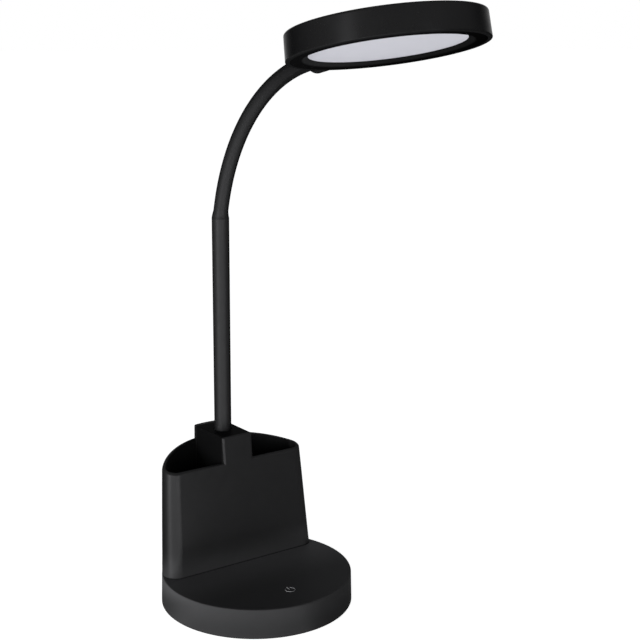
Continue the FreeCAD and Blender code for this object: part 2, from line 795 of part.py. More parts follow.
def head_shell():
    shell = turned([(0, 0), (head_radius, 0), (head_top_radius, head_thickness), (0, head_thickness)])
    top_rim = edges_where(shell, lambda e: e.Closed and e.BoundBox.ZMin > mid_height)
    low_rim = edges_where(shell, lambda e: e.Closed and e.BoundBox.ZMax < mid_height)
    shell = shell.makeFillet(head_top_round, top_rim).makeFillet(head_lip_round, low_rim)
    boss_end = head_radius + head_boss_length
    boss_start = head_radius - head_wall
    boss = cylinder(head_boss_radius, boss_end - boss_start, vec(0, boss_start, mid_height), Y)
    far_rim = edges_where(boss, lambda e: e.Closed and e.BoundBox.YMin > head_radius)
    ledge_inner = inner_radius_at(ledge_low) - ledge_depth
    ledge_high = ledge_low + ledge_height
    inside = turned([
        (0, 0), (inner_radius_at(0), 0), (inner_radius_at(ledge_low), ledge_low), (ledge_inner, ledge_low),
        (ledge_inner, ledge_high), (inner_radius_at(ledge_high), ledge_high),
        (inner_radius_at(roof_level), roof_level), (0, roof_level)])
    pad_y = nut_pad_y()
    pad = cylinder(nut_pad_radius, boss_start - pad_y + merge_depth, vec(0, pad_y, mid_height), Y)
    pad = pad.cut(cylinder(head_radius, ledge_low))
    shell = fused([shell, boss.makeFillet(head_boss_round, far_rim)]).cut(inside).fuse(pad)
    cuts = [cylinder(sleeve_radius + sleeve_socket_clearance, sleeve_socket_depth,
                     vec(0, boss_end - sleeve_socket_depth, mid_height), Y),
            cylinder(link_radius + slip_fit, head_boss_length, vec(0, head_radius, mid_height), Y),
            cylinder(neck_stud_radius + neck_stud_clearance, head_wall * 3,
                     vec(0, head_radius - head_wall * 2, mid_height), Y)]
    for spot in led_screw_spots():
        cuts.append(cylinder(led_screw_radius, head_roof / 2, spot + Z * roof_level))
    return shell.removeSplitter().cut(cuts)


def neck_end():
    """The last link: it seats in the head's boss and its threaded stud passes the wall."""
    tip = neck_to_rim + neck_stud_length
    form = turned([(0, 0), (link_radius, 0), (link_radius, neck_to_rim), (neck_stud_radius, neck_to_rim),
                   (neck_stud_radius, tip), (0, tip)])
    form = form.cut([ball_cup(), cylinder(link_bore, tip)])
    return stand(form, joint_point(neck_joint_count - 1), neck_end_tilt)


def neck_nut():
    nut = hexagon(neck_nut_flats, neck_nut_thickness)
    nut = nut.cut(cylinder(neck_stud_radius + slip_fit, neck_nut_thickness))
    nut.rotate(vec(0, 0, 0), X, 90)
    nut.translate(vec(0, nut_pad_y() - seat_gap, mid_height))
    return place_head(nut)


def head_lead():
    """The lead through the last link and, in an easy S, across to the edge of the LED board."""
    start = vec(0, head_radius + neck_to_rim, mid_height)
    leave = vec(0, head_radius - neck_stud_length, mid_height)
    arrive = vec(0, led_board_radius, led_board_low + led_board_thickness / 2)
    across = arrive - leave
    turn = 2 * math.atan2(across.z, -across.y)
    radius = -across.y / (2 * math.sin(turn))
    dip = Z * (radius * (1 - math.cos(turn / 2)))
    reach = Y * (radius * math.sin(turn / 2))
    path = Part.Wire([
        Part.LineSegment(start, leave).toShape(),
        Part.Arc(leave, leave - reach + dip, leave + across / 2).toShape(),
        Part.Arc(leave + across / 2, arrive + reach - dip, arrive).toShape()])
    return pipe(path, start, -Y, lead_radius)


def head_bezel():
    """The ring that holds the diffuser: a funnel-shaped inner wall, and hooks over the shell's ledge."""
    outer = inner_radius_at(0) - bezel_gap
    pocket_radius = diffuser_radius + diffuser_clearance
    ring_outer = pocket_radius + bezel_ring_wall
    ring_top = window_depth + diffuser_thickness
    parts = [turned([
        (bezel_inner_radius, 0), (outer, 0), (outer, bezel_lip), (ring_outer, bezel_lip),
        (ring_outer, ring_top), (pocket_radius, ring_top), (pocket_radius, window_depth),
        (window_radius, window_depth)])]
    leg_outer = inner_radius_at(ledge_low) - ledge_depth - bezel_gap
    nose_low = ledge_low + ledge_height + seat_gap
    half = hook_width / 2
    for angle in hook_angles:
        leg_inner = leg_outer - hook_thickness
        hook_top = nose_low + hook_nose_height
        leg = block(leg_inner, leg_outer, -half, half, bezel_lip / 2, hook_top)
        nose = block(leg_inner, leg_outer + hook_nose, -half, half, nose_low, hook_top)
        hook = leg.fuse(nose).removeSplitter()
        hook.rotate(vec(0, 0, 0), Z, angle)
        parts.append(hook)
    return fused(parts)


def diffuser():
    return cylinder(diffuser_radius, diffuser_thickness, vec(0, 0, window_depth + seat_gap / 2))


def reflector():
    """A white funnel from the LED board down to the back of the diffuser."""
    low = window_depth + diffuser_thickness + seat_gap
    high = led_board_low - seat_gap
    wide = diffuser_radius - reflector_inset
    return turned([(wide - reflector_wall, low), (wide, low), (led_board_radius, high),
                   (led_board_radius - reflector_wall, high)])


def led_board():
    board = cylinder(led_board_radius, led_board_thickness, vec(0, 0, led_board_low))
    hole_radius = led_screw_radius + board_hole_gap
    return board.cut([cylinder(hole_radius, led_board_thickness, spot + Z * led_board_low)
                      for spot in led_screw_spots()])


def leds():
    length, depth, height = led_size
    chips = []
    for share, count in led_rings:
        radius = led_board_radius * share
        for i in range(count):
            chip = block(radius - length / 2, radius + length / 2, -depth / 2, depth / 2,
                         led_board_low - height, led_board_low)
            chip.rotate(vec(0, 0, 0), Z, 360 / count * (i + 0.5))
            chips.append(chip)
    return Part.makeCompound(chips)


def led_screws():
    foot = led_board_low - led_screw_head_height
    tip = roof_level + head_roof / 2 - seat_gap
    return Part.makeCompound([
        screw(led_screw_radius, led_screw_head, led_screw_head_height, tip - foot, spot + Z * foot)
        for spot in led_screw_spots()])


# ---------------------------------------------------------------- nodes
nodes = {
    "base_shell": base_shell(),
    "base_cover": base_cover(),
    "counterweight": counterweight(),
    "rubber_pad": rubber_pad(),
    "base_screws": base_screws(),
    "control_board": control_board(),
    "board_screws": board_screws(),
    "touch_electrode": touch_electrode(),
    "inlet_socket": inlet_socket(),
    "inlet_board": inlet_board(),
    "power_lead": power_lead(),
    "organizer_shell": organizer_shell(),
    "organizer_screws": organizer_screws(),
    "lower_tube": lower_tube(),
    "tube_bush": tube_bush(),
    "tube_washer": tube_washer(),
    "tube_nut": tube_nut(),
    "tube_lead": tube_lead(),
    "neck_ferrule": neck_ferrule(),
    "neck_sleeve": neck_sleeve(),
    "neck_lead": neck_lead(),
    "neck_end": neck_end(),
    "neck_nut": neck_nut(),
    "head_lead": place_head(head_lead()),
    "head_shell": place_head(head_shell()),
    "head_bezel": place_head(head_bezel()),
    "diffuser": place_head(diffuser()),
    "reflector": place_head(reflector()),
    "led_board": place_head(led_board()),
    "leds": place_head(leds()),
    "led_screws": place_head(led_screws()),
}
for i in range(neck_joint_count - 1):
    nodes[f"neck_link_{i + 1:02d}"] = neck_link(i)

os.makedirs("parts", exist_ok=True)
for name, shape in nodes.items():
    shape.exportStep(f"parts/{name}.step")
    print(name, shape.isValid(), len(shape.Solids), round(shape.Volume / 1000, 3), "cm3")
for i in range(neck_joint_count):
    spot = joint_point(i)
    print("joint", i + 1, round(spot.y, 3), round(spot.z, 3), "tilt", round(joint_tilt(i), 3))
print("head centre", head_centre)
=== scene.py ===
import json
import math

import bpy
from mathutils import Matrix, Vector


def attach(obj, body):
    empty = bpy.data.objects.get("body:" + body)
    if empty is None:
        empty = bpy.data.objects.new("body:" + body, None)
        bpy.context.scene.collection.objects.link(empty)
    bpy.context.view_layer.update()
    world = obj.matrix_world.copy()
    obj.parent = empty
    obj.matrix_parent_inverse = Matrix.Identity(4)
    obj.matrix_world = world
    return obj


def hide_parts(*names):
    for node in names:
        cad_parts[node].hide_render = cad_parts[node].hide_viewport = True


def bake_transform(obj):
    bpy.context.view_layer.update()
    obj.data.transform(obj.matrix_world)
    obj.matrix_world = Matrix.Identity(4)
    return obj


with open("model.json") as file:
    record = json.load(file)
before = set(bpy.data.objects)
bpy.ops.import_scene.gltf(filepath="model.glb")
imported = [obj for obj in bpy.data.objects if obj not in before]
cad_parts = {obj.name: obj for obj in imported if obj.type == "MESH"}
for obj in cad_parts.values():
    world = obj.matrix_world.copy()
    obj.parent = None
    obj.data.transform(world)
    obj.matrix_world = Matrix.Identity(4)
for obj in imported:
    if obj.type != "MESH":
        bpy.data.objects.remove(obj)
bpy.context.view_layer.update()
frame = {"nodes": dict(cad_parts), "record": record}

# Black LED desk lamp: round weighted base, two-pocket pen organizer, steel tube, flexible neck
# and flat round head. Metres, +Z up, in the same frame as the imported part.

scene = bpy.context.scene
mm = 0.001  # metres; sizes in the dictionaries below are in mm where they say so


# Camera

camera = {
    "place": (-0.44403, -0.67733, 0.37598),
    "forward": (0.56161, 0.79799, -0.21863),
    "roll": 0.068,  # degrees
    "sensor": 36.0,  # mm
    "lens": 71.276,  # mm
    "shiftX": 0.0375,
    "shiftY": 0.0008,
    "nearest": 0.01,
    "farthest": 50.0,
}


def makeCamera(settings):
    data = bpy.data.cameras.new("lampCamera")
    data.sensor_width = settings["sensor"]
    data.lens = settings["lens"]
    data.shift_x = settings["shiftX"]
    data.shift_y = settings["shiftY"]
    data.clip_start = settings["nearest"]
    data.clip_end = settings["farthest"]
    made = bpy.data.objects.new("lampCamera", data)
    scene.collection.objects.link(made)
    turn = Vector(settings["forward"]).to_track_quat("-Z", "Y").to_matrix().to_4x4()
    roll = Matrix.Rotation(math.radians(settings["roll"]), 4, "Z")
    made.matrix_world = Matrix.Translation(settings["place"]) @ turn @ roll
    scene.camera = made


makeCamera(camera)
print("camera placed")


# Node helpers

def addNode(tree, kind, **values):
    made = tree.nodes.new(kind)
    for name, value in values.items():
        setattr(made, name, value)
    return made


def plug(tree, socket, value):
    # value is another node's output, or a plain number, colour or vector
    if isinstance(value, bpy.types.NodeSocket):
        tree.links.new(value, socket)
    else:
        socket.default_value = value


def feed(tree, node, **inputs):
    # an underscore stands for a space in a socket's name
    for name, value in inputs.items():
        plug(tree, node.inputs[name.replace("_", " ")], value)
    return node


def scalarMath(tree, operation, first, second, clamp=False):
    node = addNode(tree, "ShaderNodeMath", operation=operation, use_clamp=clamp)
    plug(tree, node.inputs[0], first)
    plug(tree, node.inputs[1], second)
    return node.outputs[0]


def vectorMath(tree, operation, first, second=(0, 0, 0)):
    node = addNode(tree, "ShaderNodeVectorMath", operation=operation)
    plug(tree, node.inputs[0], first)
    plug(tree, node.inputs[1], second)
    return node


def seenDirectly(tree):
    # 1 for a ray from the camera, and for one that sees the surroundings in gloss or glass
    path = addNode(tree, "ShaderNodeLightPath")
    seen = scalarMath(tree, "ADD", path.outputs["Is Camera Ray"], path.outputs["Is Glossy Ray"],
                      True)
    return scalarMath(tree, "ADD", seen, path.outputs["Is Transmission Ray"], True)


# World, floor and lamps

studio = {
    "background": (1.0, 1.0, 1.0, 1.0),
    "ambient": (0.94, 0.97, 1.0, 1.0),
    "ambientStrength": 0.16,
    "floorColour": (0.80, 0.80, 0.80, 1.0),
    "floorGlow": 0.90,  # as the camera sees it
    "floorBounce": 0.34,  # as it lights the lamp from below
    # as gloss sees it: brightness by direction round the lamp, 0 at the front and 0.25 on the left
    "floorPools": ((-0.5, 0.4), (-0.42, 1.2), (-0.25, 1.0), (-0.085, 0.4), (-0.06, 0.8),
                   (-0.042, 5.0), (0.03, 5.0), (0.07, 3.6), (0.12, 3.0), (0.19, 3.0), (0.23, 5.3),
                   (0.27, 3.4), (0.30, 1.0), (0.38, 0.1), (0.45, 0.3), (0.5, 0.4)),
    "poolsCentreX": -0.02,
    "floorSize": 60.0,
}
lamps = {
    "sideSoftbox": {"place": (-1.09, -0.29, 0.22), "aim": (0.0, -0.1, 0.22),
                    "size": (0.06, 0.40), "watts": 6.6},
    "frontSoftbox": {"place": (-0.887, -0.951, 0.23), "aim": (0.0, 0.0, 0.20),
                     "size": (0.90, 0.40), "watts": 4.8},
    "rightCard": {"place": (0.20, -1.20, 0.42), "aim": (0.0, -0.13, 0.38),
                  "size": (0.25, 0.40), "watts": 2.0, "onlyGloss": True},
    "headCard": {"place": (-1.0, -0.28, 0.58), "aim": (0.0, -0.13, 0.376),
                 "size": (0.24, 0.26), "watts": 0.36, "onlyGloss": True},
}


def makeWorld(settings):
    world = bpy.data.worlds.new("paleStudio")
    scene.world = world
    world.use_nodes = True
    tree = world.node_tree
    tree.nodes.clear()
    seen = feed(tree, addNode(tree, "ShaderNodeBackground"), Color=settings["background"],
                Strength=1.0)
    lit = feed(tree, addNode(tree, "ShaderNodeBackground"), Color=settings["ambient"],
               Strength=settings["ambientStrength"])
    mix = addNode(tree, "ShaderNodeMixShader")
    tree.links.new(seenDirectly(tree), mix.inputs[0])
    tree.links.new(lit.outputs[0], mix.inputs[1])
    tree.links.new(seen.outputs[0], mix.inputs[2])
    out = addNode(tree, "ShaderNodeOutputWorld")
    tree.links.new(mix.outputs[0], out.inputs["Surface"])


def makePools(tree, pools, centreX):
    axes = addNode(tree, "ShaderNodeSeparateXYZ")
    tree.links.new(addNode(tree, "ShaderNodeTexCoord").outputs["Object"], axes.inputs[0])
    left = scalarMath(tree, "SUBTRACT", centreX, axes.outputs["X"])
    front = scalarMath(tree, "MULTIPLY", axes.outputs["Y"], -1.0)
    turn = scalarMath(tree, "DIVIDE", scalarMath(tree, "ARCTAN2", left, front), 2 * math.pi)
    brightest = max(level for direction, level in pools)
    ramp = addNode(tree, "ShaderNodeValToRGB")
    tree.links.new(scalarMath(tree, "ADD", turn, 0.5), ramp.inputs[0])
    steps = ramp.color_ramp.elements
    while len(steps) < len(pools):
        steps.new(0.5)
    for step, (direction, level) in zip(steps, pools):
        step.position = direction + 0.5
        step.color = (level / brightest,) * 3 + (1.0,)
    return scalarMath(tree, "MULTIPLY", ramp.outputs[0], brightest)


def makeFloor(settings):
    half = settings["floorSize"] / 2
    mesh = bpy.data.meshes.new("floor")
    corners = [(-half, -half, 0), (half, -half, 0), (half, half, 0), (-half, half, 0)]
    mesh.from_pydata(corners, [], [(0, 1, 2, 3)])
    floor = bpy.data.objects.new("floor", mesh)
    scene.collection.objects.link(floor)
    material = bpy.data.materials.new("paleFloor")
    material.use_nodes = True
    tree = material.node_tree
    tree.nodes.clear()
    matte = feed(tree, addNode(tree, "ShaderNodeBsdfDiffuse"), Color=settings["floorColour"])
    path = addNode(tree, "ShaderNodeLightPath")
    bounce = settings["floorBounce"]  # every ray gets it, and the rest is added to it
    toCamera = scalarMath(tree, "MULTIPLY", path.outputs["Is Camera Ray"],
                          settings["floorGlow"] - bounce)
    inGloss = scalarMath(tree, "ADD", path.outputs["Is Glossy Ray"],
                         path.outputs["Is Transmission Ray"], True)
    pools = makePools(tree, settings["floorPools"], settings["poolsCentreX"])
    pools = scalarMath(tree, "SUBTRACT", pools, bounce)
    seen = scalarMath(tree, "ADD", toCamera, scalarMath(tree, "MULTIPLY", inGloss, pools))
    glow = feed(tree, addNode(tree, "ShaderNodeEmission"), Color=settings["background"],
                Strength=scalarMath(tree, "ADD", seen, bounce))
    both = addNode(tree, "ShaderNodeAddShader")
    tree.links.new(matte.outputs[0], both.inputs[0])
    tree.links.new(glow.outputs[0], both.inputs[1])
    out = addNode(tree, "ShaderNodeOutputMaterial")
    tree.links.new(both.outputs[0], out.inputs["Surface"])
    mesh.materials.append(material)


def makeLamp(name, settings):
    data = bpy.data.lights.new(name, "AREA")
    data.shape = "RECTANGLE"
    data.size, data.size_y = settings["size"]
    data.energy = settings["watts"]
    made = bpy.data.objects.new(name, data)
    scene.collection.objects.link(made)
    toward = Vector(settings["aim"]) - Vector(settings["place"])
    turn = toward.to_track_quat("-Z", "Y").to_matrix().to_4x4()
    made.matrix_world = Matrix.Translation(settings["place"]) @ turn
    made.visible_diffuse = not settings.get("onlyGloss")


scene.view_settings.view_transform = "Standard"
makeWorld(studio)
makeFloor(studio)
for name, settings in lamps.items():
    makeLamp(name, settings)
print("studio made")


# Finishes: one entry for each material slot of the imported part, with grain sizes in mm.
# A fade scales the colour or the gloss from its first level to its last, between two places in mm
# along a direction, or from inside a box to its sides.

headAxis = (0, 0.19766, 0.98027)

# base housing, in painted light and shade: its side lighter to the left and towards its top,
# and lighter towards the back by the organizer's wall; then its top darker than its side, with a
# painted reflection to the right
paintedLightLeft = {"of": "colour", "along": (-0.7, 0.7, 0), "between": (-40.0, 45.0),
            "levels": (0.90, 1.3)}
# painted highlight: the side lighter towards its top edge
paintedHighlightEdge = {"of": "colour", "along": (0, 0, 1), "between": (4.0, 20.5), "levels": (0.9, 1.2)}
# painted light: lighter towards the back and top, by the organizer's wall
paintedLightNearWall = {"of": "colour", "along": (0, 1, 3), "between": (30.0, 76.0), "levels": (0.88, 1.6)}
# painted shade: the top darker than the side
paintedShadeTop = {"of": "colour", "along": (0, 0, 1), "between": (20.3, 20.6), "levels": (1.0, 0.62)}
# painted reflection: the top lighter towards the right
paintedReflectionTopRight = {"of": "colour", "along": (1, 0, 200), "between": (4065.0, 4175.0),
           "levels": (1.0, 1.8)}
# head: its lower lip, a painted sheen on the bezel's sloping wall, and painted shade on the bezel
# towards the right
dullLip = {"of": "gloss", "along": headAxis, "between": (334.8, 335.7), "levels": (0.0, 1.0)}
paintedSheenFunnel = {"of": "colour", "along": headAxis, "between": (334.6, 335.4), "levels": (1.0, 5.0)}
# painted light and shade: the bezel lighter on the left and darker on the right
paintedShadeBezelRight = {"of": "colour", "along": (1, 0, 0), "between": (-50.0, 50.0), "levels": (1.3, 0.35)}
# neck's sleeve: painted shadow of the head, darker and less glossy up to the head
paintedHeadShadow = {"of": "colour, gloss", "along": (0, -1, 0), "between": (5.0, 66.0),
                 "levels": (1.0, 0.66)}
# organizer: painted light at the foot of its wall, with less gloss there, a painted shadow in the
# seam under it, and painted shade on the tower behind its front face
paintedLightFoot = {"of": "colour", "along": (0, 0, 1), "between": (20.6, 40.0), "levels": (2.4, 1.0)}
softFoot = {"of": "gloss", "along": (0, 0, 1), "between": (20.6, 40.0), "levels": (0.3, 1.0)}
# painted shadow in the seam above the base
paintedSeamShadow = {"of": "colour, gloss", "along": (0, 0, 1), "between": (21.0, 21.5),
            "levels": (0.3, 1.0)}
# painted shade: the tower's top and sides darker and less glossy
paintedShadeTower = {"of": "colour, gloss", "middle": (0, 41.3, 100), "reach": (12.3, 17, 30),
             "between": (0.96, 1.0), "levels": (0.36, 1.0)}

finishes = {
    "baseHousing": {"dark": 0.036, "light": 0.040, "rough": 0.46, "specular": 0.0, "grain": 0.35,
                    "depth": 0.006, "metal": 0.13,
                    "fades": (paintedLightLeft, paintedHighlightEdge, paintedLightNearWall, paintedShadeTop, paintedReflectionTopRight)},
    "bezelRing": {"dark": 0.004, "light": 0.005, "rough": 0.50, "specular": 0.0, "grain": 0.35,
                  "depth": 0.004, "fades": (paintedSheenFunnel, paintedShadeBezelRight)},
    "black_shell": {"dark": 0.012, "light": 0.014, "rough": 0.28, "specular": 0.0, "grain": 0.35,
                    "depth": 0.003, "metal": 0.88, "fades": (dullLip,)},
    "black_organizer": {"dark": 0.0183, "light": 0.0203, "rough": 0.31, "specular": 0.0,
                        "grain": 0.35, "depth": 0.003, "metal": 0.5,
                        "fades": (paintedLightFoot, softFoot, paintedSeamShadow, paintedShadeTower)},
    "black_steel": {"dark": 0.020, "light": 0.022, "rough": 0.47, "specular": 0.0, "grain": 0.50,
                    "depth": 0.004, "metal": 0.48, "edge": 0.15},
    "black_sleeve": {"dark": 0.019, "light": 0.021, "rough": 0.47, "specular": 0.0, "grain": 0.30,
                     "depth": 0.003, "metal": 0.48, "edge": 0.15, "fades": (paintedHeadShadow,)},
    "cover_plastic": {"dark": 0.016, "light": 0.022, "rough": 0.62, "specular": 0.15,
                      "grain": 0.60, "depth": 0.020},
    "foot_rubber": {"dark": 0.030, "light": 0.042, "rough": 0.85, "specular": 0.10, "grain": 0.50,
                    "depth": 0.020},
    "black_bush": {"dark": 0.006, "light": 0.009, "rough": 0.55, "specular": 0.15, "grain": 0.40,
                   "depth": 0.008},
    "lead": {"dark": 0.020, "light": 0.026, "rough": 0.60, "specular": 0.25, "grain": 0.30,
             "depth": 0.006},
    "white_plastic": {"dark": 0.78, "light": 0.84, "rough": 0.45, "specular": 0.45, "grain": 0.50,
                      "depth": 0.006},
    "opal": {"dark": 0.64, "light": 0.66, "rough": 0.60, "specular": 0.30, "grain": 0.25,
             "depth": 0.006, "tint": (0.985, 0.985, 1.08)},
    "board": {"dark": 0.045, "light": 0.060, "rough": 0.38, "specular": 0.50, "grain": 0.80,
              "depth": 0.006, "tint": (0.4, 1.6, 0.7)},
    "led_aluminium": {"dark": 0.76, "light": 0.82, "rough": 0.42, "specular": 0.50, "grain": 0.50,
                      "depth": 0.004},
    "led": {"dark": 0.62, "light": 0.72, "rough": 0.30, "specular": 0.50, "grain": 0.50,
            "depth": 0.002, "tint": (1.0, 0.92, 0.45)},
    "cast_weight": {"dark": 0.12, "light": 0.22, "rough": 0.66, "specular": 0.50, "grain": 1.20,
                    "depth": 0.060, "metal": 0.8},
    "zinc_steel": {"dark": 0.50, "light": 0.60, "rough": 0.34, "specular": 0.50, "grain": 0.60,
                   "depth": 0.004, "metal": 1.0},
    "link_steel": {"dark": 0.38, "light": 0.48, "rough": 0.32, "specular": 0.50, "grain": 0.60,
                   "depth": 0.004, "metal": 1.0},
    "brass": {"dark": 0.50, "light": 0.60, "rough": 0.30, "specular": 0.50, "grain": 0.60,
              "depth": 0.004, "metal": 1.0, "tint": (1.25, 0.95, 0.45)},
    "print_white": {"dark": 0.42, "light": 0.48, "rough": 0.50, "specular": 0.30, "grain": 0.20,
                    "depth": 0.002},
}
surfaces = {
    "tint": (1.0, 1.0, 1.03),
    "edge": 0.45,  # how much of the gloss is left where it is seen at a slant
    "mottle": {"size": 22, "detail": 3.0, "roughness": 0.55},  # lighter and darker moulding
    "patches": {"size": 9, "detail": 2.0, "roughness": 0.5},  # more and less gloss
    "patchRange": (0.3, 0.7),
    "patchSpread": 0.025,  # change of roughness to either side
    "grain": {"detail": 2.0, "roughness": 0.6},
    "relief": 0.6,
}


def shade(level, tint):
    return (level * tint[0], level * tint[1], level * tint[2], 1.0)


def boxDistance(tree, place, fade):
    # 1 on the sides of a box, less inside it
    middle, reach = ([v * mm for v in fade[key]] for key in ("middle", "reach"))
    away = vectorMath(tree, "SUBTRACT", place, middle).outputs[0]
    away = vectorMath(tree, "ABSOLUTE", away).outputs[0]
    away = vectorMath(tree, "DIVIDE", away, reach).outputs[0]
    axes = addNode(tree, "ShaderNodeSeparateXYZ")
    tree.links.new(away, axes.inputs[0])
    widest = scalarMath(tree, "MAXIMUM", axes.outputs[0], axes.outputs[1])
    return scalarMath(tree, "MAXIMUM", widest, axes.outputs[2])


def fadeLevel(tree, place, fade):
    low, high = fade["between"]
    first, last = fade["levels"]
    if "middle" in fade:
        value = boxDistance(tree, place, fade)
    else:
        value = vectorMath(tree, "DOT_PRODUCT", place, fade["along"]).outputs["Value"]
        low, high = low * mm, high * mm
    level = addNode(tree, "ShaderNodeMapRange", interpolation_type="SMOOTHSTEP")
    feed(tree, level, Value=value, From_Min=low, From_Max=high, To_Min=first, To_Max=last)
    return level.outputs[0]


def noise(tree, place, settings, grainSize=0.0):
    node = addNode(tree, "ShaderNodeTexNoise")
    feed(tree, node, Vector=place, Scale=1 / (settings.get("size", grainSize) * mm),
         Detail=settings["detail"], Roughness=settings["roughness"])
    return node.outputs["Fac"]


def makeFinish(name, settings):
    # moulded, painted or cast: soft mottling, uneven gloss and a fine grain in relief
    material = bpy.data.materials.new(name)
    material.use_nodes = True
    tree = material.node_tree
    tree.nodes.clear()
    place = addNode(tree, "ShaderNodeTexCoord").outputs["Object"]
    tint = settings.get("tint", surfaces["tint"])
    colours = addNode(tree, "ShaderNodeMix", data_type="RGBA")
    plug(tree, colours.inputs[0], noise(tree, place, surfaces["mottle"]))
    colours.inputs[6].default_value = shade(settings["dark"], tint)
    colours.inputs[7].default_value = shade(settings["light"], tint)
    colour = colours.outputs[2]
    metal = settings.get("metal", 0.0)
    # the colour fades paint light and shade into the colour
    for fade in settings.get("fades", ()):
        share = fadeLevel(tree, place, fade)
        if "colour" in fade["of"]:
            scaled = addNode(tree, "ShaderNodeVectorMath", operation="SCALE")
            colour = feed(tree, scaled, Vector=colour, Scale=share).outputs["Vector"]
        if "gloss" in fade["of"]:
            metal = scalarMath(tree, "MULTIPLY", share, metal)
    low, high = surfaces["patchRange"]
    spread = surfaces["patchSpread"]
    rough = addNode(tree, "ShaderNodeMapRange")
    feed(tree, rough, Value=noise(tree, place, surfaces["patches"]), From_Min=low, From_Max=high,
         To_Min=settings["rough"] - spread, To_Max=settings["rough"] + spread)
    grain = noise(tree, place, surfaces["grain"], settings["grain"])
    relief = feed(tree, addNode(tree, "ShaderNodeBump"), Height=grain,
                  Strength=surfaces["relief"], Distance=settings["depth"] * mm)
    surface = feed(tree, addNode(tree, "ShaderNodeBsdfPrincipled"), Base_Color=colour,
                   Roughness=rough.outputs["Result"], Normal=relief.outputs["Normal"],
                   Metallic=metal, Specular_IOR_Level=settings["specular"])
    if not settings["specular"]:
        edge = settings.get("edge", surfaces["edge"])
        feed(tree, surface, Specular_Tint=(edge, edge, edge, 1.0))
    out = addNode(tree, "ShaderNodeOutputMaterial")
    tree.links.new(surface.outputs[0], out.inputs["Surface"])
    return material


materials = {name: makeFinish(name, settings) for name, settings in finishes.items()}
slotOf = {part["node"]: part["material_slot"] for part in frame["record"]["subparts"]}
slotOf["base_shell"] = "baseHousing"  # coarser and duller than the head
slotOf["head_bezel"] = "bezelRing"
for nodeName, node in frame["nodes"].items():
    node.data.materials.clear()
    node.data.materials.append(materials[slotOf[nodeName]])
print("finishes made:", len(materials))


# Flexible neck's sleeve, and the lead inside it. Each is cut at the joints that bend fore and aft,
# where round ends roll in each other.

neck = {
    "start": (0.0, 41.75, 258.8),  # first joint, mm
    "bendRadius": 129.4,
    "startTilt": 10.9,  # degrees from upright
    "endTilt": 78.6,
    "joints": 12,
    "steps": 8,  # rows of faces from one joint to the next
    "capSteps": 6,
    "capShare": 0.99,  # of the skin's radius
    "capGap": 0.01,  # mm
    "weld": 0.001,  # mm
}
sleeve = {
    "foot": 257.35,  # height of the cuff's lower end
    "straightEnd": 10.7,  # from the last joint into the head's socket
    "radius": 5.0,
    "cuffRadius": 5.88,
    "cuffLength": 5.1,
    "sides": 64,
}
lead = {
    "foot": 241.6,  # in the plug of the tube
    "straightEnd": 0.0,
    "radius": 0.8,
    "cuffRadius": 0.8,
    "cuffLength": 1.0,
    "sides": 16,
}


def sidewaysAt(tilt):
    turn = math.radians(tilt)
    return Vector((0, math.cos(turn), math.sin(turn)))


def headingAt(tilt):
    turn = math.radians(tilt)
    return Vector((0, -math.sin(turn), math.cos(turn)))


def neckPoint(tilt):
    centre = Vector(neck["start"]) - sidewaysAt(neck["startTilt"]) * neck["bendRadius"]
    return centre + sidewaysAt(tilt) * neck["bendRadius"]


def jointTilt(i):
    span = neck["endTilt"] - neck["startTilt"]
    return neck["startTilt"] + span * i / (neck["joints"] - 1)


def makeSkinTree():
    # a round skin along a line whose points carry the skin's radius there
    tree = bpy.data.node_groups.new("neckSkin", "GeometryNodeTree")
    face = tree.interface
    for name, kind in (("Line", "Geometry"), ("Sides", "Int"), ("Weld", "Float"),
                       ("Finish", "Material")):
        face.new_socket(name, in_out="INPUT", socket_type="NodeSocket" + kind)
    face.new_socket("Skin", in_out="OUTPUT", socket_type="NodeSocketGeometry")
    given = addNode(tree, "NodeGroupInput")
    line = feed(tree, addNode(tree, "GeometryNodeMeshToCurve"), Mesh=given.outputs["Line"])
    stored = feed(tree, addNode(tree, "GeometryNodeInputNamedAttribute", data_type="FLOAT"),
                  Name="skinRadius")
    width = feed(tree, addNode(tree, "GeometryNodeSetCurveRadius"), Curve=line.outputs[0],
                 Radius=stored.outputs["Attribute"])
    ring = addNode(tree, "GeometryNodeCurvePrimitiveCircle")
    feed(tree, ring, Resolution=given.outputs["Sides"], Radius=1.0)
    skin = feed(tree, addNode(tree, "GeometryNodeCurveToMesh"), Curve=width.outputs[0],
                Profile_Curve=ring.outputs[0],
                Scale=addNode(tree, "GeometryNodeInputRadius").outputs[0])
    welded = feed(tree, addNode(tree, "GeometryNodeMergeByDistance"), Geometry=skin.outputs[0],
                  Distance=given.outputs["Weld"])
    smooth = feed(tree, addNode(tree, "GeometryNodeSetShadeSmooth"), Geometry=welded.outputs[0],
                  Shade_Smooth=True)
    real = feed(tree, addNode(tree, "GeometryNodeRealizeInstances"), Geometry=smooth.outputs[0])
    finish = feed(tree, addNode(tree, "GeometryNodeSetMaterial"), Geometry=real.outputs[0],
                  Material=given.outputs["Finish"])
    out = addNode(tree, "NodeGroupOutput")
    tree.links.new(finish.outputs[0], out.inputs[0])
    return tree


def inputNamed(tree, name):
    return next(item.identifier for item in tree.interface.items_tree
                if item.item_type == "SOCKET" and item.in_out == "INPUT" and item.name == name)


sharpFrom = 40.0  # degrees between two faces, above which their edge is drawn sharp


